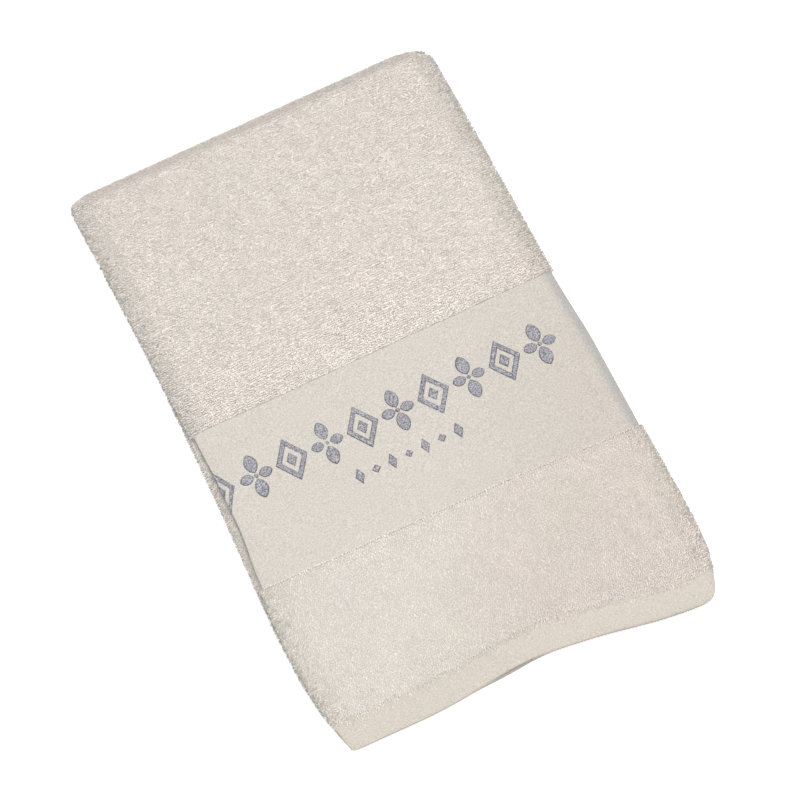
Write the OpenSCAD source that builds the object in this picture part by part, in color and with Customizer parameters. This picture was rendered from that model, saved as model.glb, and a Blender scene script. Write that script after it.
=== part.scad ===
// Hand towel, folded: both long sides turned in to the centre line at the back,
// then the cloth folded once across, so that both end hems lie together at the near end.
// +X runs across the folded towel, +Y towards the crosswise fold, +Z up.
// The origin is the centre of the footprint, on the surface that the towel lies on.

/* [Folded towel] */
// Width across the folded towel, from side fold to side fold
fold_w = 250; // [245:5:300]
// Length from the end hems to the crosswise fold
fold_l = 400; // [380:5:480]
// Clear gap between the two halves, and on each side of the centre line
half_gap = 0.3; // [0.2:0.05:0.5]

/* [Cloth] */
// Thickness of one layer of terry, pile included
terry_t = 3.3; // [2.6:0.1:4.2]
// Thickness of one layer of the flat-woven border
border_t = 2.2; // [1.6:0.1:2.4]
// Thickness of the turned hems
hem_t = 2.6; // [2:0.1:2.6]
// Air between the two layers of one half
layer_gap = 0.25; // [0.2:0.05:0.5]

/* [Zones along the cloth] */
// Width of the end hems
end_hem_w = 19; // [12:1:25]
// Length of the terry between the upper end hem and the border
near_terry_l = 94; // [60:1:120]
// Length of the flat-woven border
border_l = 109; // [100:1:120]
// How far the border is pulled in at each side fold
border_pull_in = 2.5; // [1.2:0.1:4]
// Width of the hems along the long sides of the cloth
side_hem_w = 8; // [6:1:12]

/* [Woven ornament] */
// Height of the large ornament units along the towel
large_h = 30; // [24:1:32]
// Distance from one large unit to the next
large_pitch = 24; // [23:0.5:25]
// Height of the small ornament units
small_h = 11; // [8:1:13]
// Distance from one small unit to the next
small_pitch = 11; // [9:0.5:13]
// How far the ornament's thread stands off the border
thread_h = 0.4; // [0.2:0.1:0.6]

/* [Sewing] */
// Distance from one hem stitch to the next
stitch_pitch = 5; // [4:0.5:8]
// Length of one stitch
stitch_l = 3.2; // [2:0.1:3.4]
// Width of the sewing thread
stitch_w = 0.5; // [0.4:0.1:0.8]
// How far inside an end hem's inner edge its row of stitches lies
end_stitch_in = 2.5; // [1.5:0.5:4]
// How far inside a side hem's outer edge its row of stitches lies
side_stitch_in = 1; // [0.8:0.1:2]

/* [Hidden] */
$fn = 48;

// Heights: each half is two layers of terry with a little air between them
half_t = 2 * terry_t + layer_gap;
stack_t = 2 * half_t + half_gap;
fold_z = stack_t / 2;
lower_mid_z = half_t / 2;
upper_mid_z = stack_t - half_t / 2;

// Widths across the towel: the thinner zones lie a little further in
hem_w = fold_w - 2 * (terry_t - hem_t);
border_w = fold_w - 2 * border_pull_in;

// Places along the towel, counted from its middle
near_y = -fold_l / 2;
bend_y = fold_l / 2 - stack_t / 2;
terry_near_y = near_y + end_hem_w;
border_near_y = terry_near_y + near_terry_l;
border_far_y = border_near_y + border_l;

// Ornament rows on the border, as shares of its length from its near edge
large_row_at = 0.63;
small_row_at = 0.37;
border_top_z = upper_mid_z + layer_gap / 2 + border_t;
large_y = border_near_y + large_row_at * border_l;
small_y = border_near_y + small_row_at * border_l;
large_count = 9;
small_count = 7;
large_w = 0.9 * large_pitch;
border_flat_x = fold_w / 2 - border_pull_in - border_t - layer_gap / 2;
large_first_x = -border_flat_x + 0.85 * large_pitch;
small_mid_x = -9.5;
// Room that the petals of a rosette leave for its eye
eye_room = large_w / 12;

// Stitch rows: clear of the side folds, and starting a little after the end hem
end_row_l = fold_w - 20;
first_side_stitch = 0.2 * stitch_pitch;

terry_colour = [0.90, 0.86, 0.81];
border_colour = [0.88, 0.84, 0.79];
thread_colour = [0.55, 0.56, 0.63];

// Outline of a flat stadium: a band with round ends, centred on the origin
module stadium(w, t) {
    square([w - t, t], center = true);
    for (side = [-1, 1])
        translate([side * (w - t) / 2, 0]) circle(d = t);
}

// Section of one half: a layer of thickness t with both sides turned in to the centre.
// flaps is 1 where the turned-in layers lie above the panel, and -1 where they lie below.
// open_w is the width left free at the centre line for the hems.
module turned_in_section(w, t, flaps, open_w) {
    difference() {
        stadium(w, 2 * t + layer_gap);
        stadium(w - 2 * t, layer_gap);
        translate([-open_w / 2, flaps > 0 ? 0 : -2 * t]) square([open_w, 2 * t]);
    }
}

// A length of one half, from y0 to y1
module turned_in(y0, y1, w, t, mid_z, flaps, open_w) {
    translate([0, y1, mid_z])
        rotate([90, 0, 0])
            linear_extrude(height = y1 - y0) turned_in_section(w, t, flaps, open_w);
}

// One hem along the cloth's long side, lying beside the centre line
module side_hem(y0, y1, mid_z, flaps, side) {
    low_z = flaps > 0 ? mid_z + layer_gap / 2 : mid_z - layer_gap / 2 - hem_t;
    x0 = side > 0 ? half_gap : -half_gap - side_hem_w;
    translate([x0, y0, low_z]) cube([side_hem_w, y1 - y0, hem_t]);
}

// A row of stitches across the end hem, on the panel's face
module end_stitches(face_z) {
    count = floor(end_row_l / stitch_pitch);
    for (i = [0 : count - 1])
        translate([(i - (count - 1) / 2) * stitch_pitch - stitch_l / 2,
                   terry_near_y - end_stitch_in, face_z])
            cube([stitch_l, stitch_w, thread_h]);
}

// A row of stitches along each side hem, on the turned-in layers
module side_stitches(face_z) {
    count = floor((bend_y - terry_near_y) / stitch_pitch);
    for (side = [-1, 1])
        for (i = [0 : count - 1])
            translate([side * (side_hem_w - side_stitch_in) - stitch_w / 2,
                       terry_near_y + first_side_stitch + i * stitch_pitch, face_z])
                cube([stitch_w, stitch_l, thread_h]);
}

module lower_terry() {
    color(terry_colour)
        turned_in(terry_near_y, bend_y, fold_w, terry_t, lower_mid_z, 1,
                  2 * (side_hem_w + half_gap));
}

module lower_end_hem() {
    color(border_colour)
        turned_in(near_y, terry_near_y, hem_w, hem_t, lower_mid_z, 1, 2 * half_gap);
}

module lower_side_hem(side) {
    color(border_colour) side_hem(terry_near_y, bend_y, lower_mid_z, 1, side);
}

// Stitches of the lower half: under the panel across the end, and on top along the sides
module lower_end_stitches() {
    color(border_colour) end_stitches(lower_mid_z - layer_gap / 2 - hem_t - thread_h);
}

module lower_side_stitches() {
    color(border_colour) side_stitches(lower_mid_z + layer_gap / 2 + hem_t);
}

// The bend: a section turned half a circle about the line between the halves.
// The section's +Y points away from that line, and r_shift is the distance to its own origin.
module bent(r_shift) {
    translate([0, bend_y, fold_z])
        rotate([0, 90, 0])
            rotate_extrude(angle = 180) rotate([0, 0, -90]) translate([0, r_shift]) children();
}

module crosswise_fold() {
    color(terry_colour)
        bent(half_gap / 2 + half_t / 2)
            turned_in_section(fold_w, terry_t, -1, 2 * (side_hem_w + half_gap));
}

module fold_side_hem(side) {
    x0 = side > 0 ? half_gap : -half_gap - side_hem_w;
    inner_r = half_gap / 2 + terry_t - hem_t;
    color(border_colour) bent(0) translate([x0, inner_r]) square([side_hem_w, hem_t]);
}

module upper_far_terry() {
    color(terry_colour)
        turned_in(border_far_y, bend_y, fold_w, terry_t, upper_mid_z, -1,
                  2 * (side_hem_w + half_gap));
}

module border_band() {
    color(border_colour)
        turned_in(border_near_y, border_far_y, border_w, border_t, upper_mid_z, -1,
                  2 * (side_hem_w + half_gap));
}

module upper_near_terry() {
    color(terry_colour)
        turned_in(terry_near_y, border_near_y, fold_w, terry_t, upper_mid_z, -1,
                  2 * (side_hem_w + half_gap));
}

module upper_end_hem() {
    color(border_colour)
        turned_in(near_y, terry_near_y, hem_w, hem_t, upper_mid_z, -1, 2 * half_gap);
}

module upper_side_hem(side) {
    color(border_colour) side_hem(terry_near_y, bend_y, upper_mid_z, -1, side);
}

module upper_end_stitches() {
    color(border_colour) end_stitches(upper_mid_z + layer_gap / 2 + hem_t);
}

module upper_side_stitches() {
    color(border_colour) side_stitches(upper_mid_z - layer_gap / 2 - hem_t - thread_h);
}

// Lens-shaped petal that points along +Y from the origin
module petal(length, width) {
    r = (length * length + width * width) / (4 * width);
    translate([0, length / 2])
        intersection_for(side = [-1, 1])
            translate([side * (r - width / 2), 0]) circle(r = r);
}

// Rosette of two long and two short petals round an eye
module rosette(w, h) {
    for (turn = [0, 180]) rotate(turn) translate([0, eye_room]) petal(h / 2 - eye_room, w / 2.6);
    for (turn = [90, 270]) rotate(turn) translate([0, eye_room]) petal(w / 2 - eye_room, w / 3.2);
    circle(r = eye_room * 0.8);
}

// Hollow lozenge with a small lozenge inside it
module lozenge(w, h) {
    function diamond(s) = [[0, s * h / 2], [s * w / 2, 0], [0, -s * h / 2], [-s * w / 2, 0]];
    difference() {
        polygon(diamond(1));
        polygon(diamond(0.62));
    }
    polygon(diamond(0.34));
}

// Row of large units on the face, with one more lozenge that runs over the left side fold
module ornament_large() {
    color(thread_colour) {
        translate([0, large_y, border_top_z])
            linear_extrude(height = thread_h)
                for (i = [0 : large_count - 1])
                    translate([large_first_x + i * large_pitch, 0])
                        if (i % 2 == 0) rosette(large_w, large_h);
                        else lozenge(large_w, large_h);
        over_side_unit();
    }
}

// The lozenge that runs over the side fold: a point on the face, a curved strip and a point beneath
module over_side_unit() {
    point_w = large_w / 2 - 4;
    strip_l = large_h * 0.45;
    outer_r = border_t + layer_gap / 2;
    function point(s) = [[0, strip_l / 2], [point_w, 0], [0, -strip_l / 2]];
    for (face_z = [border_top_z, upper_mid_z - layer_gap / 2 - border_t - thread_h])
        translate([-border_flat_x, large_y, face_z])
            linear_extrude(height = thread_h) polygon(point(1));
    translate([-border_flat_x, large_y + strip_l / 2, upper_mid_z])
        rotate([90, 0, 0])
            linear_extrude(height = strip_l)
                difference() {
                    circle(r = outer_r + thread_h);
                    circle(r = outer_r);
                    translate([0, -2 * outer_r]) square([2 * outer_r, 4 * outer_r]);
                }
}

// Row of small solid lozenges, set alternately upright and flat
module ornament_small() {
    color(thread_colour)
        translate([small_mid_x, small_y, border_top_z])
            linear_extrude(height = thread_h)
                for (i = [0 : small_count - 1])
                    translate([(i - (small_count - 1) / 2) * small_pitch, 0])
                        small_unit(i % 2 == 0 ? small_h : small_h * 0.55);
}

module small_unit(h) {
    w = small_pitch * 0.28;
    polygon([[0, h / 2], [w, 0], [0, -h / 2], [-w, 0]]);
}

lower_terry();
lower_end_hem();
lower_side_hem(-1);  // lower_left_side_hem
lower_side_hem(1);  // lower_right_side_hem
lower_end_stitches();
lower_side_stitches();
crosswise_fold();
fold_side_hem(-1);  // fold_left_side_hem
fold_side_hem(1);  // fold_right_side_hem
upper_far_terry();
border_band();
upper_near_terry();
upper_end_hem();
upper_side_hem(-1);  // upper_left_side_hem
upper_side_hem(1);  // upper_right_side_hem
upper_end_stitches();
upper_side_stitches();
ornament_large();
ornament_small();
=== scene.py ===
"""Folded hand towel: the looks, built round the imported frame.

The towel is one cloth. A place on it is (across, along, depth): metres across from its middle,
metres along from the upper end hem, over the bend and back to the lower end hem, and the depth
under the towel's outer skin. The function cloth() turns that into a point of the folded towel,
and every piece here, from the ground weave to the smallest stitch, is laid out through it.
"""

import math

import bpy
import numpy as np
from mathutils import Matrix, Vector


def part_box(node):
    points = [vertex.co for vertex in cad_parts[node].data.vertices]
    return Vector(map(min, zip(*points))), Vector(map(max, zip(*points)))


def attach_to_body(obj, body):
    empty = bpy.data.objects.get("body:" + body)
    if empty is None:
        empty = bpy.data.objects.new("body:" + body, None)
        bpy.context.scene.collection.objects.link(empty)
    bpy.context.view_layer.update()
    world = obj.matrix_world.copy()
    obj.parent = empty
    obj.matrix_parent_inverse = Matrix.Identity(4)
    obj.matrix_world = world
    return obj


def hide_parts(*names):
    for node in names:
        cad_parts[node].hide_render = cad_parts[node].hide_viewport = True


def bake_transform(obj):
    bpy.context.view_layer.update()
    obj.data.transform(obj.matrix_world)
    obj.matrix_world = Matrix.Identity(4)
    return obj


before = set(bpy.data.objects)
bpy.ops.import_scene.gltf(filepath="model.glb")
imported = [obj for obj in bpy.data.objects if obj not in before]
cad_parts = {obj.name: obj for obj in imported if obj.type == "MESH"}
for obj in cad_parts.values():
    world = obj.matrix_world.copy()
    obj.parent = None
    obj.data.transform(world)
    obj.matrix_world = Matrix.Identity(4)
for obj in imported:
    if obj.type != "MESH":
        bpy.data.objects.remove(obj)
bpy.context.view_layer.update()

MM = 0.001


# -------- sizes, read from the frame


def low(node, axis):
    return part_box(node)[0][axis]


def high(node, axis):
    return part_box(node)[1][axis]


X, Y, Z = 0, 1, 2

NEAR_Y = low("upper_end_hem", Y)
HEM_Y = low("upper_near_terry", Y)
BAND_NEAR_Y = low("border_band", Y)
BAND_FAR_Y = high("border_band", Y)
BEND_Y = high("upper_far_terry", Y)

TOP_Z = high("upper_far_terry", Z)
GAP = low("upper_far_terry", Z) - high("lower_terry", Z)
FOLD_Z = (low("upper_far_terry", Z) + high("lower_terry", Z)) / 2
HALF_T = (TOP_Z - low("upper_far_terry", Z)) / 2
MID_R = GAP / 2 + HALF_T

TOWEL_HALF_W = high("upper_far_terry", X)
CENTRE_X = low("upper_right_side_hem", X)
HEM_EDGE_X = high("upper_right_side_hem", X)
SIDE_HEM_T = high("upper_right_side_hem", Z) - low("upper_right_side_hem", Z)

BAND_DEPTH = TOP_Z - high("border_band", Z)
END_HEM_DEPTH = TOP_Z - high("upper_end_hem", Z)
THREAD_H = high("ornament_small", Z) - high("border_band", Z)
PLY_DEPTH = HALF_T - 0.2 * MM

# The pile stands on the ground weave, which lies this far under the skin
GROUND_DEPTH = 1.7 * MM
# How far it comes up beside the upper end hem
HEM_RISE = GROUND_DEPTH - END_HEM_DEPTH - 0.1 * MM
# Side folds: how far in from the side the cloth starts to turn under
NOSE_W = 9 * MM
# How much further in the border turns, beyond its own thinness
BAND_TIGHT = TOWEL_HALF_W - high("border_band", X) - BAND_DEPTH

# Length of cloth that the bend takes, on its outside
BEND_LEN = math.pi * (MID_R + HALF_T)
LOWER_START = BEND_Y + BEND_LEN
LOWER_HEM = LOWER_START + BEND_Y - HEM_Y
LOWER_END = LOWER_START + BEND_Y - NEAR_Y


# -------- the folded shape


def smooth(t):
    """0 below 0, 1 above 1, and an even curve between."""
    t = np.clip(t, 0, 1)
    return t * t * (3 - 2 * t)


def bell(t):
    return np.exp(-t * t)


def ripples(x, y, seed, count, shortest, longest):
    """A seeded sum of waves with unit variance, wavelengths between shortest and longest."""
    rng = np.random.default_rng(seed)
    total = 0 * x
    for _ in range(count):
        length = shortest * (longest / shortest) ** rng.random()
        heading = rng.uniform(0, 2 * math.pi)
        phase = rng.uniform(0, 2 * math.pi)
        way = x * math.cos(heading) + y * math.sin(heading)
        total = total + np.sin(way * 2 * math.pi / length + phase)
    return total * math.sqrt(2 / count)


CORNER_R = 12 * MM
FAR_RIGHT_R = 18 * MM
FAR_LEFT_R = 6 * MM


def half_width(y, right):
    """Half of the towel's width: fullest a third of the way up, narrowest at the end hems,
    where the right corners are rounder than the left ones."""
    spread = np.where(y > -125 * MM, 70 * MM, 45 * MM)
    swell = 4.6 * MM * bell((y + 125 * MM) / spread)
    corner = np.where(right, 5.2, 2.6) * MM * smooth((-168 * MM - y) / (30 * MM))
    t = np.clip((NEAR_Y + CORNER_R - y) / CORNER_R, 0, 1)
    rounding = np.where(right, 9 * MM, 1.5 * MM) * (1 - np.sqrt(1 - t * t))
    right_bulge = 1.0 * MM * (bell((y + 35 * MM) / (45 * MM)) + bell((y + 158 * MM) / (22 * MM)) + 1.2)
    left_bulge = 1.6 * MM * bell((y + 165 * MM) / (30 * MM))
    bulge = np.where(right, right_bulge, left_bulge)
    return TOWEL_HALF_W - 1.6 * MM + swell + bulge - corner - rounding


def sideways(y, upper):
    """The towel was laid down a little crooked, so its middle line is a shallow S. Along the
    border the upper half has also slid a little to the right over the lower one."""
    slid = 3.4 * MM * bell((y + 32 * MM) / (60 * MM))
    return 3.6 * MM * np.tanh((y - 15 * MM) / (80 * MM)) + np.where(upper, slid, 0)


def far_corner(y, right):
    """How far the side is drawn in where the far corner is rounded: more at the right."""
    corner_r = np.where(right, FAR_RIGHT_R, FAR_LEFT_R)
    t = np.clip((y - BEND_Y - MID_R - HALF_T + corner_r) / corner_r, 0, 1)
    return corner_r * (1 - np.sqrt(1 - t * t))


def lengthways(x, y, upper):
    """The near end is skewed, and pushed back a little where its upper hem stands up. The upper
    half reaches a little further than the lower one, which shows only where it is pushed."""
    slope = np.where(x > 0, -0.034, -0.032)
    droop = 0.9 * MM + 4.5 * MM * smooth((x - 35 * MM) / (70 * MM))
    skew = (slope * x - droop) * smooth((-40 * MM - y) / (90 * MM))
    push = bell((x - 2 * MM) / (47 * MM)) * smooth((-120 * MM - y) / (75 * MM))
    longer = np.where(upper, 2.2 * MM, 1.4 * MM * bell((x + 17 * MM) / (18 * MM)))
    over = longer * smooth((-60 * MM - y) / (110 * MM))
    return skew + push * np.where(upper, 6.6 * MM, 6.4 * MM) - over


def lift(x, y, upper):
    """The upper end hem stands up a little near its middle."""
    hump = bell((x + 17 * MM) / (24 * MM)) * smooth((-160 * MM - y) / (38 * MM))
    return np.where(upper, 3.6 * MM * hump, 0)


STREAKS = [
    # middle x, middle y, half length, half width, all in mm, turn from the y axis, strength
    (99, -146, 34, 5, -3, 1.0),
    (84, -150, 22, 4, -8, 0.9),
    (-66, -160, 14, 6, 25, 0.6),
    (18, -122, 16, 7, 40, 0.5),
    (26, 42, 16, 4, 18, 0.5),
    (-70, 120, 30, 9, 60, 0.25),
    (60, 128, 34, 8, -50, 0.25),
    (-20, 75, 30, 9, 35, 0.25),
]


def streaks(x, y):
    """Where the pile was pressed or brushed against its lie: 1 in the middle of a streak."""
    total = 0 * x
    for mid_x, mid_y, length, width, turn, strength in STREAKS:
        c = math.cos(math.radians(turn))
        s = math.sin(math.radians(turn))
        dx = x / MM - mid_x
        dy = y / MM - mid_y
        total = total + strength * bell((dx * s + dy * c) / length) * bell((dx * c - dy * s) / width)
    return total


def press(x, y):
    """What the stack's height is multiplied by: 1, less where the cloth has settled."""
    calm = smooth((BEND_Y - y) / (40 * MM))
    swell = 0.022 * (ripples(x, y, 3, 9, 34 * MM, 95 * MM) - 1.6)
    hem = 0.30 * smooth((-168 * MM - y) / (32 * MM))
    return 1 + calm * swell - hem


def section(across, depth, half_w, end_x, tight):
    """Section of one half, as (x, height above its middle): panel, side fold, turned-in layer.
    across runs from 0 at the middle of the panel to 1 and 2 at the two ends of the side
    fold, and to 3 where the turned-in layer ends. tight draws the side fold in."""
    side = np.sign(across)
    u = np.abs(across)
    flat = half_w - NOSE_W
    turn = np.clip(u - 1, 0, 1) * math.pi
    panel_x = np.minimum(u, 1) * flat
    nose_x = (NOSE_W - depth - tight) * np.sin(turn)
    flap_x = np.clip(u - 2, 0, 1) * (end_x - flat)
    return side * (panel_x + nose_x + flap_x), (HALF_T - depth) * np.cos(turn)


def cloth(across, along, depth, end_x=HEM_EDGE_X, tight=0.0):
    """The point of the folded towel at a place on the cloth, as an array of shape (..., 3)."""
    across, along, depth = np.broadcast_arrays(across, along, depth)
    y = np.minimum(np.minimum(along, BEND_Y), LOWER_START + BEND_Y - along)
    upper = along < (BEND_Y + LOWER_START) / 2
    turn = np.clip((along - BEND_Y) / BEND_LEN, 0, 1) * math.pi
    right = across > 0
    half_w = half_width(y, right) - far_corner(y + (MID_R + HALF_T) * np.sin(turn), right)
    x, height = section(across, depth, half_w, end_x, tight)
    radius = MID_R + height
    x = x + sideways(y, upper)
    z = (FOLD_Z + radius * np.cos(turn)) * press(x, y) + lift(x, y, upper)
    far = y + radius * np.sin(turn) + lengthways(x, y, upper)
    return np.stack([x, far, z], axis=-1)


def nominal_across():
    """Table that turns metres across the cloth into section()'s number."""
    u = np.linspace(0, 3, 3001)
    x, height = section(u, np.full_like(u, GROUND_DEPTH / 2), TOWEL_HALF_W, HEM_EDGE_X, 0)
    steps = np.hypot(np.diff(x), np.diff(height))
    return np.concatenate([[0], np.cumsum(steps)]), u


ACROSS_M, ACROSS_U = nominal_across()
CLOTH_HALF_W = ACROSS_M[-1]
PANEL_W = float(np.interp(1, ACROSS_U, ACROSS_M))
NOSE_END = float(np.interp(2, ACROSS_U, ACROSS_M))
# The fine pile of the face ends here, inside the stack
FACE_EDGE = NOSE_END + 2 * MM


def across_of(metres):
    return np.sign(metres) * np.interp(np.abs(metres), ACROSS_M, ACROSS_U)


def metres_of(across):
    return np.sign(across) * np.interp(np.abs(across), ACROSS_U, ACROSS_M)


def unit(v):
    return v / np.maximum(np.linalg.norm(v, axis=-1, keepdims=True), 1e-12)


def laid(across, along, depth, **shape):
    """Point, outward normal, and the directions across and along the cloth, at each place."""
    step = 0.3 * MM
    near = cloth(across, along, depth + step, **shape)
    out = cloth(across, along, depth - step, **shape)
    metres = metres_of(across)
    right = cloth(across_of(metres + step), along, depth, **shape)
    left = cloth(across_of(metres - step), along, depth, **shape)
    ahead = cloth(across, along + step, depth, **shape)
    behind = cloth(across, along - step, depth, **shape)
    return (near + out) / 2, unit(out - near), unit(right - left), unit(ahead - behind)


# -------- mesh helpers


def new_object(name, data):
    made = bpy.data.objects.new(name, data)
    bpy.context.scene.collection.objects.link(made)
    return made


def mesh_piece(name, points, quads, triangles=None, cloth_uv=None, shade=None):
    """A mesh object from arrays. cloth_uv is a place on the cloth for every point, and shade
    one number for every point; the materials read both."""
    corners = quads.reshape(-1)
    totals = np.full(len(quads), 4)
    if triangles is not None and len(triangles):
        corners = np.concatenate([corners, triangles.reshape(-1)])
        totals = np.concatenate([totals, np.full(len(triangles), 3)])
    starts = np.concatenate([[0], np.cumsum(totals)[:-1]])
    mesh = bpy.data.meshes.new(name)
    mesh.vertices.add(len(points))
    mesh.vertices.foreach_set("co", np.ascontiguousarray(points, np.float32).ravel())
    mesh.loops.add(len(corners))
    mesh.loops.foreach_set("vertex_index", corners.astype(np.int32))
    mesh.polygons.add(len(totals))
    mesh.polygons.foreach_set("loop_start", starts.astype(np.int32))
    mesh.polygons.foreach_set("use_smooth", np.ones(len(totals), bool))
    mesh.update(calc_edges=True)
    if cloth_uv is not None:
        places = mesh.uv_layers.new(name="cloth")
        places.data.foreach_set("uv", cloth_uv[corners].astype(np.float32).ravel())
    if shade is not None:
        attribute = mesh.attributes.new("shade", "FLOAT", "POINT")
        attribute.data.foreach_set("value", shade.astype(np.float32))
    mesh.validate()
    return new_object(name, mesh)


def grid_quads(rows, columns):
    """Quads of a grid of points that are numbered row by row."""
    r, c = np.meshgrid(np.arange(rows - 1), np.arange(columns - 1), indexing="ij")
    a = (r * columns + c).ravel()
    return np.stack([a, a + 1, a + columns + 1, a + columns], axis=1)


def steps_between(start, end, step):
    count = max(2, int(round(abs(end - start) / step)) + 1)
    return np.linspace(start, end, count)


def across_steps(panel_step, flap_step):
    """Places across the cloth from one end to the other: close together round the side folds."""
    panel = steps_between(0, 1, panel_step / PANEL_W)
    nose = steps_between(1, 2, 1 / 16)[1:]
    flap = steps_between(2, 3, flap_step / PANEL_W)[1:]
    right = np.concatenate([panel, nose, flap])
    return np.concatenate([-right[:0:-1], right])


def rounded_edge(start, end, outer, inner, step, near_round=False, far_round=False):
    """Closed outline of a layer, as (along, depth): out along its face and back along its
    inside, with a half-round edge at each end that asks for one."""
    middle = (outer + inner) / 2
    r = (inner - outer) / 2
    arc = np.linspace(0, math.pi, 7)[1:-1]
    face_start = start + r if near_round else start
    face_end = end - r if far_round else end
    face = steps_between(face_start, face_end, step)
    parts = [np.stack([face, np.full_like(face, outer)], 1)]
    if far_round:
        parts.append(np.stack([face_end + r * np.sin(arc), middle - r * np.cos(arc)], 1))
    parts.append(np.stack([face[::-1], np.full_like(face, inner)], 1))
    if near_round:
        parts.append(np.stack([face_start - r * np.sin(arc), middle + r * np.cos(arc)], 1))
    return np.concatenate(parts)


def layer(name, across, outline, relief=None, light=None, **shape):
    """A closed layer of cloth: the outline, swept across the cloth, with both ends capped.
    relief and light are functions of (metres across, metres along): relief raises the outer
    face, and light is kept for the material."""
    a = np.asarray(across)[:, None]
    along = outline[None, :, 0]
    depth = outline[None, :, 1] + 0 * a
    metres = metres_of(a) + 0 * along
    if relief is not None:
        face = outline[None, :, 1] < outline[:, 1].min() + 1e-6
        depth = depth - np.where(face, relief(metres, along + 0 * a), 0)
    points = cloth(a, along, depth, **shape)
    rows, columns = points.shape[:2]
    uv = np.stack([metres, along + 0 * a], -1).reshape(-1, 2)
    ring = np.arange(columns)
    after = np.roll(ring, -1)
    r = np.arange(rows - 1)[:, None] * columns
    sides = np.stack([r + ring, r + after, r + columns + after, r + columns + ring], -1)
    caps = [end_cap(columns, 0, False), end_cap(columns, (rows - 1) * columns, True)]
    quads = np.concatenate([sides.reshape(-1, 4)] + caps)
    shade = None if light is None else light(uv[:, 0], uv[:, 1])
    return mesh_piece(name, points.reshape(-1, 3), quads, cloth_uv=uv, shade=shade)


def end_cap(count, first, flip):
    """Quads that close a ring of points by joining it to itself across its thin way."""
    half = count // 2
    i = np.arange(half - 1)
    cap = np.stack([i, count - 1 - i, count - 2 - i, i + 1], axis=1) + first
    return cap[:, ::-1] if flip else cap


# -------- terry pile

LOOP_SIDES = 3


def tube_faces(count, rings):
    """Quads and end triangles of count tubes, whose points run tube by tube, ring by ring."""
    tube = np.arange(count)[:, None, None] * rings * LOOP_SIDES
    ring = np.arange(rings - 1)[None, :, None] * LOOP_SIDES
    side = np.arange(LOOP_SIDES)[None, None, :]
    after = (side + 1) % LOOP_SIDES
    start = tube + ring
    above = start + LOOP_SIDES
    quads = np.stack([start + side, start + after, above + after, above + side], -1).reshape(-1, 4)
    first = np.arange(count)[:, None] * rings * LOOP_SIDES
    last = first + (rings - 1) * LOOP_SIDES
    ends = np.concatenate([first + [2, 1, 0], last + [0, 1, 2]])
    return quads, ends


def tubes(name, centre, radius, side_way, shade, metres, along):
    """Yarns: centre is (count, rings, 3), radius and shade (count, rings), side_way (count, 3),
    and metres and along, the place of each on the cloth, (count,).
    Where they would go below what the towel lies on, they are pressed flat against it."""
    count, rings = centre.shape[:2]
    run = unit(np.gradient(centre, axis=1))
    side_way = side_way[:, None]
    first = unit(side_way - run * (run * side_way).sum(-1, keepdims=True))
    second = np.cross(run, first)
    turn = 2 * math.pi * np.arange(LOOP_SIDES) / LOOP_SIDES
    around = first[:, :, None] * np.cos(turn)[:, None] + second[:, :, None] * np.sin(turn)[:, None]
    points = centre[:, :, None] + radius[:, :, None, None] * around
    points[..., Z] = np.maximum(points[..., Z], 0)
    each = rings * LOOP_SIDES
    quads, ends = tube_faces(count, rings)
    uv = np.repeat(np.stack([metres, along], axis=1), each, axis=0)
    shade = np.repeat(shade.ravel(), LOOP_SIDES)
    return mesh_piece(name, points.reshape(-1, 3), quads, ends, uv, shade)


def scattered(metres_from, metres_to, along_from, along_to, pitch_across, pitch_along, rng):
    """Places in staggered rows, each moved a little at random."""
    columns = int(round((metres_to - metres_from) / pitch_across))
    rows = int(round((along_to - along_from) / pitch_along))
    pitch_across = (metres_to - metres_from) / columns
    pitch_along = (along_to - along_from) / rows
    row, column = np.meshgrid(np.arange(rows), np.arange(columns), indexing="ij")
    stagger = 0.25 + 0.5 * (row % 2) + rng.uniform(-0.24, 0.24, row.shape)
    metres = metres_from + (column + stagger) * pitch_across
    along = along_from + (row + 0.5 + rng.uniform(-0.2, 0.2, row.shape)) * pitch_along
    return metres.ravel(), along.ravel()


def brushed(metres, along):
    """How the pile lies: a slow wander in the direction that its loops lean, in radians."""
    return 0.25 * ripples(metres, along, 11, 8, 26 * MM, 80 * MM)


def outward_bend_shade(metres, along):
    """1 where the cloth bends out: its loops part to show shade, and are darkened as painted shade."""
    round_side = (np.abs(metres) - PANEL_W) / (NOSE_END - PANEL_W)
    side_from = np.where(metres > 0, 0.1, 0.22)
    side = smooth((round_side - side_from) / 0.25) * smooth((1 - round_side) / 0.3)
    far = smooth((along - BEND_Y - MM) / (7 * MM)) * smooth((LOWER_START - MM - along) / (7 * MM))
    return np.maximum(side, far)


def covered(across, x, y):
    """1 where the border's edge lies on the lower fold, pressing its pile flat, with painted shade."""
    side = np.sign(across)
    edge = side * (half_width(y, across > 0) - BAND_DEPTH - BAND_TIGHT) + sideways(y, True)
    outside = side * (x - edge)
    under_edge = smooth((2.3 * MM - outside) / (0.8 * MM)) * smooth((outside + 5 * MM) / (2 * MM))
    return under_edge * (np.abs(across) > 1.5) * (np.abs(across) < 2.2)


def beside_hem(along):
    """1 on the upper end hem, falling to 0 a few millimetres into the terry."""
    return 1 - smooth((along - HEM_Y + MM) / (5 * MM))


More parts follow.
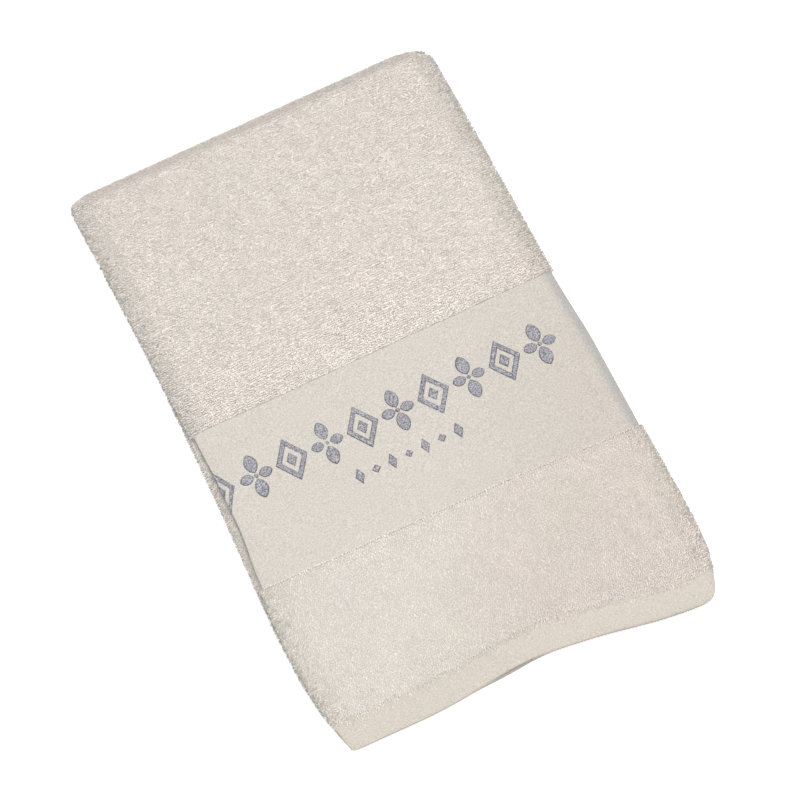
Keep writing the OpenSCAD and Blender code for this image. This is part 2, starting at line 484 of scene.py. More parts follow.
def loops(name, metres, along, rng, yarn, width, height, wild, rings, facing=0.0):
    """Terry loops: arches of yarn on the ground weave. They stand at the angle facing from
    the way across the cloth, and wild is how far they stray from it, from 0 to 1: in turn,
    lean and shade. Those that stray onto the upper end hem are low tufts."""
    across = across_of(metres)
    strayed = smooth((HEM_Y - along) / (6 * MM))
    depth = GROUND_DEPTH - HEM_RISE * beside_hem(along)
    base, normal, right, ahead = laid(across, along, depth)
    x, y = base[:, X], base[:, Y]
    pressed = np.clip(streaks(x, y), 0, 1) * (np.abs(metres) < PANEL_W)
    at_side = smooth((np.abs(metres) - PANEL_W + 6 * MM) / (8 * MM))
    # Pressed flat under the border's edge, where the loops also get painted shade
    flat_and_shaded = covered(across, x, y) * (along > LOWER_START)
    turn = (facing + rng.normal(0, 1, len(x)) * (0.12 + wild)) * (1 - 0.4 * at_side)
    way = right * np.cos(turn)[:, None] + ahead * np.sin(turn)[:, None]
    side_way = np.cross(normal, way)
    tall = height * (1 + rng.normal(0, 0.09, len(x)) + 0.012 * ripples(x, y, 21, 14, 7 * MM, 24 * MM))
    tall = np.clip(tall * (1 - 0.28 * pressed), 0.45 * height, 1.3 * height)
    tall = tall * (1 - 0.85 * flat_and_shaded) * (1 - 0.5 * strayed)
    wide = width * (1 + rng.normal(0, 0.11, len(x)) + 0.3 * at_side)
    lie = brushed(x, y) + rng.normal(0, 0.55, len(x))
    lean = (ahead * np.cos(lie)[:, None] + right * np.sin(lie)[:, None]) * (0.22 + 0.4 * wild) * height
    bend = np.linspace(0, math.pi, rings)
    out = np.cos(bend)[None, :, None] * (wide / 2)[:, None, None]
    up = np.sin(bend)[None, :, None] * tall[:, None, None] - yarn
    over = np.sin(bend)[None, :, None] ** 2
    centre = base[:, None] - way[:, None] * out + normal[:, None] * up + lean[:, None] * over
    radius = yarn * (1 + 0.09 * rng.normal(0, 1, len(x)))[:, None] * np.ones(rings)[None, :]
    # Painted shade: loops are darkened on the outward bends of the folds and under the border's edge
    bright = 0.62 - 0.35 * pressed - 0.45 * outward_bend_shade(metres, along) - 0.2 * flat_and_shaded - 0.36 * strayed
    bright = np.clip(bright + rng.normal(0, 0.03 + 0.22 * wild, len(x)) * (1 + 1.5 * at_side), 0, 1)
    # Painted shade: each loop is darker at its feet than at its top
    shade = bright[:, None] * (0.25 + 0.75 * np.sin(bend))[None, :]
    return tubes(name, centre, radius, side_way, shade, metres, along)


FIBRE_R = 0.055 * MM


def fuzz(name, metres, along, rng, length):
    """Loose fibres that stand out of the pile, each a thin bent point."""
    across = across_of(metres)
    base, normal, right, ahead = laid(across, along, GROUND_DEPTH * 0.6)
    turn = rng.uniform(0, 2 * math.pi, len(metres))
    flat = right * np.cos(turn)[:, None] + ahead * np.sin(turn)[:, None]
    rise = rng.uniform(0.5, 1.0, len(metres))[:, None]
    way = unit(normal * rise + flat * (1 - rise))
    droop = unit(flat + np.array([0, 0, -0.3]))
    t = np.linspace(0, 1, 4)[None, :, None]
    long = (length * rng.uniform(0.5, 1.2, len(metres)))[:, None, None]
    centre = base[:, None] + way[:, None] * t * long + droop[:, None] * 0.45 * t * t * long
    taper = np.array([1, 0.9, 0.65, 0.15])
    radius = FIBRE_R * taper[None, :] * np.ones((len(metres), 1))
    shade = rng.uniform(0, 0.7, len(metres))[:, None] + 0 * radius
    return tubes(name, centre, radius, np.cross(way, droop), shade, metres, along)


# -------- ornament shapes


def diamond(x, y, w, h):
    """Distance outside a lozenge that is w wide and h high, less than 0 within it."""
    return (np.abs(x) * 2 / w + np.abs(y) * 2 / h - 1) * w * h / (2 * math.hypot(w, h))


def lens(x, y, length, width):
    """Distance outside a petal that points along y from the origin."""
    r = (length * length + width * width) / (4 * width)
    return np.hypot(np.abs(x) + r - width / 2, y - length / 2) - r


def lozenge(x, y, w, h):
    """A small lozenge inside the outline of a large one."""
    frame_part = np.maximum(diamond(x, y, w, h), -diamond(x, y, 0.62 * w, 0.62 * h))
    return np.minimum(frame_part, diamond(x, y, 0.34 * w, 0.34 * h))


def rosette(x, y, w, h):
    """Two long and two short petals round an eye."""
    eye = w / 12
    tall = lens(x, np.abs(y) - eye, h / 2 - eye, w / 2.6)
    broad = lens(y, np.abs(x) - eye, w / 2 - eye, w / 3.2)
    return np.minimum(np.minimum(tall, broad), np.hypot(x, y) - 0.8 * eye)


def raised(shape, mid_m, mid_y, w, h, cell):
    """A raised, round-edged pad of thread in the outline of shape, lying on the border:
    points, quads, place on the cloth and distance from the edge."""
    xs = steps_between(-w / 2 - cell, w / 2 + cell, cell)
    ys = steps_between(-h / 2 - cell, h / 2 + cell, cell)
    x, y = (a.ravel() for a in np.meshgrid(xs, ys, indexing="ij"))
    away = shape(x, y, w, h)
    quads = grid_quads(len(xs), len(ys))
    quads = quads[(away[quads] < 0).sum(1) >= 2]
    used = np.unique(quads)
    number = np.full(len(x), -1)
    number[used] = np.arange(len(used))
    quads = number[quads]
    x, y = x[used], y[used]
    step = 0.02 * MM
    rim = rim_points(quads, len(used))
    for _ in range(4):
        away = shape(x, y, w, h)
        gx = (shape(x + step, y, w, h) - shape(x - step, y, w, h)) / (2 * step)
        gy = (shape(x, y + step, w, h) - shape(x, y - step, w, h)) / (2 * step)
        move = np.where(rim, np.clip(away, -cell, cell), 0) / np.maximum(gx * gx + gy * gy, 0.3)
        x = x - move * gx
        y = y - move * gy
    away = np.where(rim, 0, np.maximum(-shape(x, y, w, h), 0))
    round_w = 0.7 * MM
    t = 1 - np.minimum(away / round_w, 1)
    height = THREAD_H * np.sqrt(1 - t * t)
    rise = np.where(rim, -0.08 * MM, height)
    inner = np.flatnonzero(~rim)
    under = np.arange(len(x))
    under[inner] = len(x) + np.arange(len(inner))
    metres = np.concatenate([x, x[inner]]) + mid_m
    along = np.concatenate([y, y[inner]]) + mid_y
    rise = np.concatenate([rise, np.full(len(inner), -0.25 * MM)])
    edge = np.concatenate([away, away[inner]])
    both = np.concatenate([quads, under[quads][:, ::-1]])
    points = cloth(across_of(metres), along, BAND_DEPTH - rise, tight=BAND_TIGHT)
    return points, both, np.stack([metres, along], 1), edge


def rim_points(quads, count):
    """True for each point on the open edge of a patch of quads."""
    edges = np.concatenate([quads[:, [0, 1]], quads[:, [1, 2]], quads[:, [2, 3]], quads[:, [3, 0]]])
    edges, uses = np.unique(np.sort(edges, axis=1), axis=0, return_counts=True)
    rim = np.zeros(count, bool)
    rim[edges[uses == 1].ravel()] = True
    return rim


def ornament(name, units, cell):
    """One piece from several raised units."""
    points, quads, uv, edge = zip(*[raised(*unit, cell) for unit in units])
    firsts = np.cumsum([0] + [len(part) for part in points])
    quads = [part + first for part, first in zip(quads, firsts)]
    points, quads, uv, edge = (np.concatenate(parts) for parts in (points, quads, uv, edge))
    return mesh_piece(name, points, quads, cloth_uv=uv, shade=edge / MM)


# -------- materials


class Nodes:
    """A node material under construction."""

    def __init__(self, name):
        self.material = bpy.data.materials.new(name)
        self.material.use_nodes = True
        self.tree = self.material.node_tree
        self.shader = self.tree.nodes["Principled BSDF"]

    def add(self, kind, **values):
        node = self.tree.nodes.new(kind)
        for key, value in values.items():
            if hasattr(node, key):
                setattr(node, key, value)
            else:
                node.inputs[key].default_value = value
        return node

    def link(self, source, target):
        self.tree.links.new(source, target)

    def place(self):
        """The point in the towel's own frame, which stays with the cloth."""
        return self.add("ShaderNodeTexCoord").outputs["Object"]

    def noise(self, scale, detail=2.0, roughness=0.5):
        node = self.add("ShaderNodeTexNoise", Scale=scale, Detail=detail, Roughness=roughness)
        self.link(self.place(), node.inputs["Vector"])
        return node.outputs["Fac"]

    def ramp(self, value, stops):
        node = self.add("ShaderNodeValToRGB")
        ramp = node.color_ramp
        while len(ramp.elements) < len(stops):
            ramp.elements.new(0.5)
        for element, (position, colour) in zip(ramp.elements, stops):
            element.position = position
            element.color = (*colour, 1)
        self.link(value, node.inputs["Fac"])
        return node.outputs["Color"]

    def feed(self, socket, value):
        """Gives a socket another node's output, a colour or a number."""
        if isinstance(value, bpy.types.NodeSocket):
            self.link(value, socket)
        else:
            socket.default_value = (*value, 1) if isinstance(value, tuple) else value

    def mix(self, blend, factor, a, b):
        node = self.add("ShaderNodeMix", data_type="RGBA", blend_type=blend)
        for index, value in ((0, factor), (6, a), (7, b)):
            self.feed(node.inputs[index], value)
        return node.outputs[2]

    def times(self, colour, by):
        return self.mix("MULTIPLY", 1.0, colour, by)

    def math(self, operation, a, b=None):
        node = self.add("ShaderNodeMath", operation=operation)
        self.feed(node.inputs[0], a)
        if b is not None:
            self.feed(node.inputs[1], b)
        return node.outputs[0]

    def attribute(self, name):
        return self.add("ShaderNodeAttribute", attribute_name=name).outputs["Fac"]

    def split(self, vector):
        """The three parts of a vector."""
        node = self.add("ShaderNodeSeparateXYZ")
        self.link(vector, node.inputs[0])
        return node.outputs

    def cloth_place(self, pitch_across, pitch_along):
        """Place on the cloth, counted in threads each way."""
        metres, along, _ = self.split(self.add("ShaderNodeUVMap", uv_map="cloth").outputs["UV"])
        return (
            self.math("MULTIPLY", metres, 1 / pitch_across),
            self.math("MULTIPLY", along, 1 / pitch_along),
        )

    def bump(self, height, distance, strength=1.0):
        node = self.add("ShaderNodeBump", Distance=distance, Strength=strength)
        self.link(height, node.inputs["Height"])
        self.link(node.outputs["Normal"], self.shader.inputs["Normal"])

    def finish(self, colour, roughness, sheen, sheen_roughness=0.5, sheen_tint=(1, 0.97, 0.93)):
        shader = {
            "Base Color": colour,
            "Roughness": roughness,
            "Specular IOR Level": 0.2,
            "Sheen Weight": sheen,
            "Sheen Roughness": sheen_roughness,
            "Sheen Tint": sheen_tint,
        }
        for key, value in shader.items():
            self.feed(self.shader.inputs[key], value)
        return self.material


BLACK = (0.0, 0.0, 0.0)
WHITE = (1.0, 1.0, 1.0)
CREAM = (0.940, 0.893, 0.856)
PINK = (0.944, 0.892, 0.864)
STRAW = (0.935, 0.892, 0.844)
ROSE_GREY = (0.929, 0.876, 0.846)
# Painted shade: what the near right side of the towel is tinted by, darker and pinker
NEAR_RIGHT_SHADE = (0.940, 0.920, 0.908)
# Painted shade: what the right side fold of the border is tinted by, see greyed()
BORDER_FOLD_SHADE = (0.78, 0.825, 0.865)
# Painted shade of the pile, from deep between its loops to their tops
PILE_SHADES = [
    (0.0, (0.60, 0.615, 0.61)),
    (0.14, (0.71, 0.685, 0.665)),
    (0.35, (0.885, 0.875, 0.865)),
    (0.75, WHITE),
]
BORDER_TONE = (0.702, 0.687, 0.660)
HEM_TONE = (0.670, 0.640, 0.600)
# The ground weave deep between loops, and where terry_light() lets the light in
GROUND_SHADED = (0.72, 0.715, 0.705)
GROUND_LIT = (0.915, 0.897, 0.887)


def dyed_and_shaded(nodes, broad_scale=14.0, tinted=True):
    """Cream cotton that has taken its dye a little unevenly. A tinted piece is also a little
    darker and pinker towards the near right."""
    broad = nodes.noise(broad_scale, 3.0, 0.6)
    colour = nodes.ramp(broad, [(0.30, STRAW), (0.45, CREAM), (0.56, PINK), (0.72, ROSE_GREY)])
    if not tinted:
        return colour
    # Painted shade: darker and pinker towards the near right, where the light falls off
    x, y, _ = nodes.split(nodes.place())
    to_right = nodes.math("MULTIPLY", x, 0.8)
    to_near = nodes.math("MULTIPLY", y, -0.6)
    reach = nodes.math("DIVIDE", nodes.math("ADD", to_right, to_near), 160 * MM)
    tint = nodes.ramp(reach, [(0.25, WHITE), (0.75, NEAR_RIGHT_SHADE)])
    return nodes.times(colour, tint)


def plain_weave(nodes, pitch_across, pitch_along):
    """Height of a plain weave, 0 to 1: each thread passes over one and under the next."""
    u, v = nodes.cloth_place(pitch_across, pitch_along)
    warp = nodes.math("ABSOLUTE", nodes.math("SINE", nodes.math("MULTIPLY", u, math.pi)))
    weft = nodes.math("ABSOLUTE", nodes.math("SINE", nodes.math("MULTIPLY", v, math.pi)))
    cell = nodes.math("ADD", nodes.math("FLOOR", u), nodes.math("FLOOR", v))
    over = nodes.math("PINGPONG", cell, 1.0)
    under = nodes.math("SUBTRACT", 1.0, over)
    return nodes.math("ADD", nodes.math("MULTIPLY", warp, over), nodes.math("MULTIPLY", weft, under))


def pile_material():
    nodes = Nodes("terry_pile")
    colour = dyed_and_shaded(nodes)
    # Painted shade, read from the loops' shade attribute
    colour = nodes.times(colour, nodes.ramp(nodes.attribute("shade"), PILE_SHADES))
    yarn = nodes.noise(950.0, 1.0, 0.6)
    grain = nodes.ramp(yarn, [(0.38, (0.80, 0.79, 0.775)), (0.60, WHITE)])
    colour = nodes.times(colour, grain)
    fibre = nodes.noise(2600.0, 2.0)
    nodes.bump(fibre, 0.12 * MM, 0.5)
    return nodes.finish(colour, 0.95, 0.25)


def ground_material():
    nodes = Nodes("terry_ground")
    tone = nodes.ramp(nodes.attribute("shade"), [(0.0, GROUND_SHADED), (1.0, GROUND_LIT)])
    colour = nodes.times(dyed_and_shaded(nodes), tone)
    weave = plain_weave(nodes, 1.3 * MM, 1.1 * MM)
    nodes.bump(weave, 0.3 * MM)
    return nodes.finish(colour, 0.95, 0.2)


def flat_weave_material(name, pitch_across, pitch_along, tone, grain, tinted):
    """Flat-woven cotton: fine threads, with slubs and a slightly uneven beat. tone is how much
    light it gives back beside the pile, and grain how far its darkest threads are darker."""
    nodes = Nodes(name)
    colour = nodes.times(dyed_and_shaded(nodes, 24.0, tinted), tone)
    # Painted shade: cool grey along the border's right side fold
    fold_shade_tint = nodes.ramp(nodes.attribute("shade"), [(0.0, WHITE), (1.0, BORDER_FOLD_SHADE)])
    colour = nodes.times(colour, fold_shade_tint)
    fine = nodes.noise(1250.0, 3.0, 0.75)
    colour = nodes.times(colour, nodes.ramp(fine, [(0.3, (1 - grain,) * 3), (0.7, WHITE)]))
    weave = plain_weave(nodes, pitch_across, pitch_along)
    height = nodes.math("ADD", weave, nodes.math("MULTIPLY", fine, 1.2))
    nodes.bump(height, 0.10 * MM)
    return nodes.finish(colour, 0.85, 0.15)


def thread_material():
    """Grey-blue pattern thread: mottled floats inside, and a darker outline."""
    nodes = Nodes("ornament_thread")
    speckle = nodes.noise(1300.0, 2.0, 0.7)
    fill = nodes.ramp(
        speckle,
        [(0.38, (0.14, 0.14, 0.175)), (0.50, (0.28, 0.275, 0.31)), (0.62, (0.56, 0.54, 0.57))],
    )
    rim = nodes.ramp(nodes.attribute("shade"), [(0.0, BLACK), (0.9, WHITE)])
    outline = nodes.times(fill, (0.36, 0.36, 0.40))
    colour = nodes.mix("MIX", rim, outline, fill)
    u, v = nodes.cloth_place(0.9 * MM, 0.9 * MM)
    slant = nodes.math("SINE", nodes.math("MULTIPLY", nodes.math("ADD", u, v), 2 * math.pi))
    nodes.bump(nodes.math("ADD", slant, speckle), 0.12 * MM)
    return nodes.finish(colour, 0.6, 0.2, 0.4, (0.9, 0.92, 1.0))


def sewing_material():
    nodes = Nodes("sewing_thread")
    ply = nodes.noise(3000.0, 2.0)
    colour = nodes.ramp(ply, [(0.3, (0.55, 0.51, 0.46)), (0.7, (0.66, 0.62, 0.56))])
    nodes.bump(ply, 0.08 * MM)
    return nodes.finish(colour, 0.7, 0.1)


def floor_material():
    nodes = Nodes("pale_floor")
    grain = nodes.noise(6.0, 2.0)
    colour = nodes.ramp(grain, [(0.3, (0.93, 0.93, 0.93)), (0.7, (0.96, 0.96, 0.96))])
    nodes.shader.inputs["Emission Color"].default_value = (1, 1, 1, 1)
    nodes.shader.inputs["Emission Strength"].default_value = FLOOR_GLOW
    return nodes.finish(colour, 0.9, 0.0)


# -------- stage, light and camera

AZIMUTH = -27
ELEVATION = 66
CAMERA_FAR = 3.0
LENS_MM = 223.2
SENSOR_MM = 36
AIM = Vector((3.5 * MM, -10.8 * MM, FOLD_Z))

KEY_POWER = 39
FILL_POWER = 0.2 * KEY_POWER
SKY_STRENGTH = 0.82
FLOOR_GLOW = 0.4


def aimed(name, data, aim, azimuth, elevation, distance):
    """A new camera or light that looks at aim from a direction, in degrees, and a distance."""
    made = new_object(name, data)
    a = math.radians(azimuth)
    e = math.radians(elevation)
    back = Vector((math.sin(a) * math.cos(e), -math.cos(a) * math.cos(e), math.sin(e)))
    made.location = aim + back * distance
    made.rotation_mode = "QUATERNION"
    made.rotation_quaternion = (-back).to_track_quat("-Z", "Y")
    return made


def make_camera():
    data = bpy.data.cameras.new("camera")
    data.sensor_width = SENSOR_MM
    data.lens = LENS_MM
    bpy.context.scene.camera = aimed("camera", data, AIM, AZIMUTH, ELEVATION, CAMERA_FAR)


def area_light(name, azimuth, elevation, distance, size, power, colour):
    data = bpy.data.lights.new(name, "AREA")
    data.shape = "DISK"
    data.size = size
    data.energy = power
    data.color = colour
    aimed(name, data, Vector((0, 0, 0)), azimuth, elevation, distance)


def make_sky():
    """Light from all round, greyer from low down than from above."""
    world = bpy.data.worlds.new("studio")
    world.use_nodes = True
    nodes = world.node_tree.nodes
    link = world.node_tree.links.new
    sky = nodes["Background"]
    sky.inputs["Strength"].default_value = SKY_STRENGTH
    place = nodes.new("ShaderNodeTexCoord")
    parts = nodes.new("ShaderNodeSeparateXYZ")
    fade = nodes.new("ShaderNodeValToRGB")
    fade.color_ramp.elements[0].color = (0.45, 0.52, 0.52, 1)
    fade.color_ramp.elements[1].color = (0.98, 1.0, 0.985, 1)
    link(place.outputs["Generated"], parts.inputs[0])
    link(parts.outputs["Z"], fade.inputs["Fac"])
    link(fade.outputs["Color"], sky.inputs["Color"])
    bpy.context.scene.world = world


def make_stage():
    size = 4.0
    xs = np.array([[-1, -1, 0], [1, -1, 0], [1, 1, 0], [-1, 1, 0]]) * size
    floor = mesh_piece("floor", xs, np.array([[0, 1, 2, 3]]))
    floor.data.materials.append(floor_material())
    make_sky()
    area_light("key", 20, 80, distance=2.2, size=1.2, power=KEY_POWER, colour=(1.0, 0.975, 0.95))
    area_light("fill", -80, 50, distance=2.4, size=1.6, power=FILL_POWER, colour=(1.0, 0.99, 0.98))
    bpy.context.scene.view_settings.view_transform = "Standard"


# -------- building the towel

MATERIALS = {}
UPPER = "upper_half"
LOWER = "lower_half"


def dress(piece, material, slot, *nodes):
    """Gives a piece its material, and hides the CAD nodes that it stands for. slot is not used."""
    piece.data.materials.append(MATERIALS[material])
    if nodes:
        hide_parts(*nodes)
    return piece


def bend_round(piece):
    """Bakes the transform of a piece of the bend into its mesh."""
    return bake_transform(piece)


def attach(piece, along_from):
    """Rides on the half that the piece lies in; a piece of the bend only has its transform baked."""
    if along_from < BEND_Y - MM:
        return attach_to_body(piece, UPPER)
    if along_from < LOWER_START - MM:
        return bend_round(piece)
    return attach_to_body(piece, LOWER)


def border_fold_shade(metres, along):
    """Painted shade: 1 on the border's right side fold, cool grey where it turns from the light."""
    return smooth((metres - PANEL_W + 3 * MM) / (8 * MM)) * smooth((NOSE_END - metres) / (5 * MM))


def terry_relief(metres, along):
    """The ground is a little uneven, and comes up to the face of the upper end hem beside it."""
    return 0.05 * MM * ripples(metres, along, 31, 10, 6 * MM, 20 * MM) + HEM_RISE * beside_hem(along)


def terry_light(metres, along):
    """1 where the ground weave is open to the light, between the tall loops beyond the border,
    and 0.6 beside the upper end hem, where the loops are few."""
    panel = smooth((PANEL_W + 4 * MM - np.abs(metres)) / (8 * MM))
    far = panel * (along > BAND_FAR_Y - MM) * (along < LOWER_START + MM)
    return np.maximum(far, 0.6 * beside_hem(along))


# Steps of the ground weave along the cloth, flat and round the bend
FLAT_STEP = 3 * MM
BEND_STEP = 1.4 * MM
TERRY_GRID = across_steps(3 * MM, 5 * MM)


def terry_zone(name, along_from, along_to, across=TERRY_GRID, step=FLAT_STEP):
    """Ground weave of a length of terry."""
    outline = rounded_edge(along_from, along_to, GROUND_DEPTH, PLY_DEPTH, step)
    return layer(name, across, outline, terry_relief, terry_light)


# The strips of the cloth that show on the face, and its turned-in layers, as metres across
FACES = ((-FACE_EDGE, 0), (0, FACE_EDGE))
FLAPS = ((-CLOTH_HALF_W, -FACE_EDGE), (FACE_EDGE, CLOTH_HALF_W))


def tiled(strips, lengths, pitches):
    """Tiles of pile: every strip across the cloth, in every length along it, as what
    scattered() asks for: metres from and to, along from and to, and the two pitches."""
    return [(*strip, *length, *pitches) for strip in strips for length in lengths]


def pile_tiles(base_name, tiles, along_from, seed, thin_from=None, **kind):
    """Pile pieces, one for each tile. From thin_from on, the loops come in one by one instead
    of in a straight row."""
    made = []
    for index, tile in enumerate(tiles):
        rng = np.random.default_rng(seed + index)
        metres, along = scattered(*tile, rng)
        if thin_from is not None:
            kept = rng.random(len(along)) < smooth((along - thin_from) / THIN_OVER)
            metres, along = metres[kept], along[kept]
        piece = loops(f"{base_name}_{index + 1}", metres, along, rng, **kind)
        dress(piece, "pile", "terry")
        made.append(attach(piece, along_from))
    return made


# Kinds of pile: fine beyond the border and on the folds, low near the end hem, and coarse
# where it is hidden while the towel is folded, each with its pitches across and along
FINE = dict(yarn=0.34 * MM, width=1.2 * MM, height=1.6 * MM, rings=5, facing=0.3)
COARSE = dict(yarn=0.55 * MM, width=2.2 * MM, height=1.7 * MM, rings=4)
LOW = dict(yarn=0.36 * MM, width=1.5 * MM, height=1.35 * MM, rings=5, facing=1.25)
FINE_PITCH = (1.25 * MM, 1.55 * MM)
LOW_PITCH = (1.2 * MM, 1.5 * MM)
COARSE_PITCH = (2.4 * MM, 2.8 * MM)
# Length over which the near pile thins out towards the upper end hem
THIN_OVER = 13 * MM
# Room beside the crosswise fold, so that the pile of the two halves can open flat there
FOLD_GAP = 0.6 * MM


def make_upper_half():
    far = terry_zone("upper_far_cloth", BAND_FAR_Y, BEND_Y)
    dress(far, "ground", "terry", "upper_far_terry")
    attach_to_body(far, UPPER)
    middle = (BAND_FAR_Y + BEND_Y) / 2
    pile_end = BEND_Y - FOLD_GAP
    face = tiled(FACES, ((BAND_FAR_Y, middle), (middle, pile_end)), FINE_PITCH)
    back = tiled(FLAPS, ((BAND_FAR_Y, pile_end),), COARSE_PITCH)
    far_pile = pile_tiles("upper_far_pile", face, 0, 100, wild=0.5, **FINE)
    far_pile += pile_tiles("upper_far_back_pile", back, 0, 120, wild=0.4, **COARSE)
    far_pile += make_side_hems("upper", HEM_Y, BEND_Y)

    near = terry_zone("upper_near_cloth", HEM_Y, BAND_NEAR_Y)
    dress(near, "ground", "terry", "upper_near_terry")
    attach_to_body(near, UPPER)
    thin_from = HEM_Y - 9 * MM
    middle = (HEM_Y + BAND_NEAR_Y) / 2
    face = tiled(FACES, ((thin_from, middle), (middle, BAND_NEAR_Y)), LOW_PITCH)
    back = tiled(FLAPS, ((HEM_Y, BAND_NEAR_Y),), COARSE_PITCH)
    near_pile = pile_tiles("upper_near_pile", face, 0, 140, thin_from=thin_from, wild=0.35, **LOW)
    near_pile += pile_tiles("upper_near_back_pile", back, 0, 160, wild=0.5, **COARSE)


def make_lower_half():
    cloth_piece = terry_zone("lower_cloth", LOWER_START, LOWER_HEM)
    dress(cloth_piece, "ground", "terry", "lower_terry")
    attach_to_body(cloth_piece, LOWER)
    edge_from = PANEL_W - 3 * MM
    pile_start = LOWER_START + FOLD_GAP
    middle = (LOWER_START + LOWER_HEM) / 2
    fold_strips = ((-FACE_EDGE, -edge_from), (edge_from, FACE_EDGE))
    folds = tiled(fold_strips, ((pile_start, LOWER_HEM),), FINE_PITCH)
    hidden_strips = ((-edge_from, edge_from), *FLAPS)
    rest = tiled(hidden_strips, ((pile_start, middle), (middle, LOWER_HEM)), COARSE_PITCH)
    pile = pile_tiles("lower_fold_pile", folds, LOWER_START, 200, wild=0.3, **FINE)
    pile += pile_tiles("lower_pile", rest, LOWER_START, 220, wild=0.4, **COARSE)
    pile += make_side_hems("lower", LOWER_START, LOWER_HEM)


def make_bend():
    """The bend in two pieces: the panel round the outside, and the turned-in layers inside."""
    half_turn = 1.8
    outer_part = TERRY_GRID[np.abs(TERRY_GRID) <= half_turn]
    outside = terry_zone("bend_outer_cloth", BEND_Y, LOWER_START, outer_part, BEND_STEP)
    dress(outside, "ground", "terry", "crosswise_fold")
    bend_round(outside)
    tiles = tiled(FACES, ((BEND_Y, LOWER_START),), FINE_PITCH)
    pile = pile_tiles("bend_pile", tiles, BEND_Y, 300, wild=0.25, **FINE)
    inner = []
    for side, name in ((-1, "left"), (1, "right")):
        part = TERRY_GRID[TERRY_GRID * side >= half_turn]
        inside = terry_zone(f"bend_inner_cloth_{name}", BEND_Y, LOWER_START, part, BEND_STEP)
        dress(inside, "ground", "terry", "crosswise_fold")
        bend_round(inside)
        inner.append(inside)
        inner += make_side_hem(
            f"bend_{name}_side_hem", side, BEND_Y, LOWER_START, f"fold_{name}_side_hem"
        )


def band_relief(metres, along):
    """The border's fine cross ribs and the slow waves that washing leaves in a flat weave."""
    broad = 0.10 * MM * ripples(metres, along, 41, 9, 14 * MM, 60 * MM)
    rows = 0.035 * MM * np.sin(along * 2 * math.pi / (3.4 * MM))
    return broad + rows


def make_border():
    across = across_steps(1.5 * MM, 4 * MM)
    overlap = 0.6 * MM
    outline = rounded_edge(
        BAND_NEAR_Y - overlap, BAND_FAR_Y + overlap, BAND_DEPTH, PLY_DEPTH, 0.85 * MM
    )
    # The border's right side fold gets painted shade
    band = layer("border_cloth", across, outline, band_relief, border_fold_shade, tight=BAND_TIGHT)
    dress(band, "border", "woven_border", "border_band")
    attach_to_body(band, UPPER)
    large = ornament("ornament_row_large", large_units(), 0.45 * MM)
    dress(large, "thread", "ornament_thread", "ornament_large")
    small = ornament("ornament_row_small", small_units(), 0.3 * MM)
    dress(small, "thread", "ornament_thread", "ornament_small")
    for piece in (large, small):
        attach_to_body(piece, UPPER)


LARGE_COUNT = 9
SMALL_COUNT = 7


def row_of(node):
    """Left end, right end, middle y and height of a row of ornament."""
    near, far = low(node, Y), high(node, Y)
    return low(node, X), high(node, X), (near + far) / 2, far - near


def large_units():
    """Rosettes and lozenges in turn, and a lozenge that runs over the left side fold."""
    _, right, y, h = row_of("ornament_large")
    pitch = 0.8 * h
    w = 0.9 * pitch
    last_x = right - w / 2
    units = []
    for i in range(LARGE_COUNT):
        shape = rosette if i % 2 == 0 else lozenge
        units.append((shape, last_x - (LARGE_COUNT - 1 - i) * pitch, y, w, h))
    fold_m = (PANEL_W + NOSE_END) / 2
    units.append((lozenge, -fold_m, y, w, h))
    return units


def small_units():
    """Diamonds, tall and low in turn, from one end of their row to the other."""
    left, right, y, h = row_of("ornament_small")
    w = 0.56 * h
    pitch = (right - left - w) / (SMALL_COUNT - 1)
    return [
        (diamond, left + w / 2 + i * pitch, y, w, h if i % 2 == 0 else 0.55 * h)
        for i in range(SMALL_COUNT)
    ]


STITCH_PITCH = 5 * MM
STITCH_HALF = 1.6 * MM
STITCH_R = 0.27 * MM


def stitch_row(name, metres, along, across_way, depth):
    """Sewing stitches: short bowed threads that dip into the cloth at both ends."""
    t = np.linspace(-1, 1, 6)[None, :]
    m = metres[:, None] + (t * STITCH_HALF if across_way else 0 * t)
    a = along[:, None] + (0 * t if across_way else t * STITCH_HALF)
    rise = STITCH_R * (1.1 - 2.6 * t**4)
    across = across_of(m)
    centre = cloth(across, a, depth - rise, end_x=CENTRE_X)
    _, _, right, ahead = laid(across[:, 0], a[:, 0], depth, end_x=CENTRE_X)
    side_way = ahead if across_way else right
    radius = np.full(m.shape, STITCH_R)
    return tubes(name, centre, radius, side_way, np.full(m.shape, 0.5), metres, along)


def make_end_hem(name, body, start, end, near_first):
    """A turned hem with a rounded fold at the cloth's end and its row of stitches."""
    across = across_steps(2 * MM, 4 * MM)
    outline = rounded_edge(start, end, END_HEM_DEPTH, PLY_DEPTH, 0.8 * MM, near_first, not near_first)
    hem = layer(f"{name}_end_hem_cloth", across, outline, hem_relief, end_x=CENTRE_X)
    dress(hem, "hem", "plain_hem", f"{name}_end_hem")
    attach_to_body(hem, body)
    row_m = np.arange(-NOSE_END + 2 * MM, NOSE_END - 2 * MM, STITCH_PITCH)
    row_along = np.full_like(row_m, end - 2.6 * MM if near_first else start + 2.6 * MM)
    stitches = stitch_row(f"{name}_end_stitching", row_m, row_along, True, END_HEM_DEPTH)
    dress(stitches, "sewing", "sewing_thread", f"{name}_end_stitches")
    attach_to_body(stitches, body)


def hem_relief(metres, along):
    """The hem puckers a little between its stitches."""
    pucker = 0.05 * MM * np.sin(metres * 2 * math.pi / STITCH_PITCH)
    return pucker + 0.12 * MM * ripples(metres, along, 51, 9, 12 * MM, 50 * MM)


def flap_place(x):
    """section()'s number for a place in the turned-in layer, x from the centre line."""
    flat = TOWEL_HALF_W - NOSE_W
    return 2 + (flat - x) / (flat - CENTRE_X)


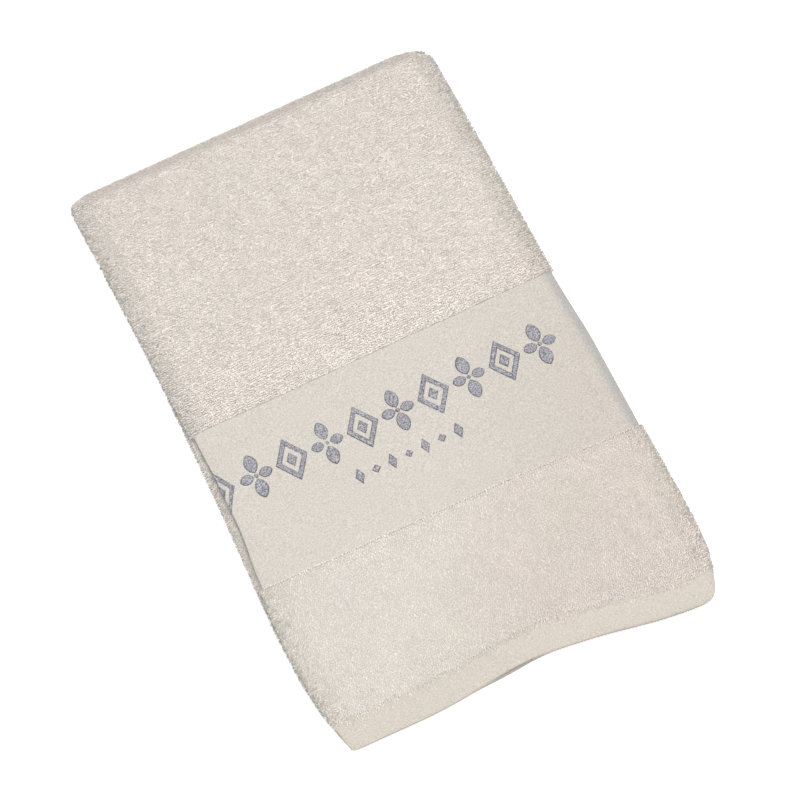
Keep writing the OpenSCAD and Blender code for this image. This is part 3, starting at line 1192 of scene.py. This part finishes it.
def make_side_hem(name, side, start, end, node, stitch_node=None):
    """The hem along one long side of the cloth, and its row of stitches if it has one."""
    outer = PLY_DEPTH - SIDE_HEM_T
    step = 4 * MM if stitch_node else BEND_STEP
    outline = rounded_edge(start, end, outer, PLY_DEPTH, step)
    across = np.sort(side * flap_place(np.linspace(CENTRE_X, HEM_EDGE_X, 9)))
    hem = layer(f"{name}_cloth", across, outline, end_x=CENTRE_X)
    dress(hem, "hem", "plain_hem", node)
    attach(hem, start)
    if not stitch_node:
        return [hem]
    along = np.arange(start + STITCH_PITCH / 2, end - STITCH_PITCH / 2, STITCH_PITCH)
    metres = np.full_like(along, metres_of(side * flap_place(HEM_EDGE_X - 1.2 * MM)))
    row = stitch_row(f"{name}_stitching", metres, along, False, outer)
    dress(row, "sewing", "sewing_thread", stitch_node)
    return [hem, attach(row, start)]


def make_side_hems(half, start, end):
    made = []
    for side, word in ((-1, "left"), (1, "right")):
        node = f"{half}_{word}_side_hem"
        made += make_side_hem(node, side, start, end, node, f"{half}_side_stitches")
    return made


FIBRES_PER_MM = 34
BEND_FIBRES = 6000


def make_fuzz():
    """Loose fibres round the side folds and over the upper half of the bend."""
    zones = [
        ("upper_far_fuzz", BAND_FAR_Y, BEND_Y),
        ("upper_near_fuzz", HEM_Y, BAND_NEAR_Y),
        ("lower_fuzz", LOWER_START, LOWER_HEM),
    ]
    for index, (name, start, end) in enumerate(zones):
        rng = np.random.default_rng(400 + index)
        count = int((end - start) / MM * FIBRES_PER_MM)
        side = rng.choice([-1, 1], count)
        metres = side * rng.uniform(PANEL_W - 6 * MM, NOSE_END, count)
        along = rng.uniform(start, end, count)
        piece = fuzz(name, metres, along, rng, 2.6 * MM)
        dress(piece, "pile", "terry")
        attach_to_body(piece, LOWER if start >= LOWER_START else UPPER)
    rng = np.random.default_rng(410)
    metres = rng.uniform(-PANEL_W, PANEL_W, BEND_FIBRES)
    along = rng.uniform(BEND_Y, LOWER_START - 0.5 * BEND_LEN, BEND_FIBRES)
    piece = fuzz("bend_fuzz", metres, along, rng, 2.4 * MM)
    dress(piece, "pile", "terry")
    bend_round(piece)


def main():
    make_camera()
    make_stage()
    MATERIALS.update(
        pile=pile_material(),
        ground=ground_material(),
        border=flat_weave_material(
            "woven_border", 0.8 * MM, 0.9 * MM, BORDER_TONE, grain=0.44, tinted=True
        ),
        hem=flat_weave_material(
            "plain_hem", 0.9 * MM, 1.0 * MM, HEM_TONE, grain=0.40, tinted=False
        ),
        thread=thread_material(),
        sewing=sewing_material(),
    )
    make_lower_half()
    make_bend()
    make_upper_half()
    make_border()
    make_end_hem("upper", UPPER, NEAR_Y, HEM_Y, True)
    make_end_hem("lower", LOWER, LOWER_HEM, LOWER_END, False)
    make_fuzz()


main()
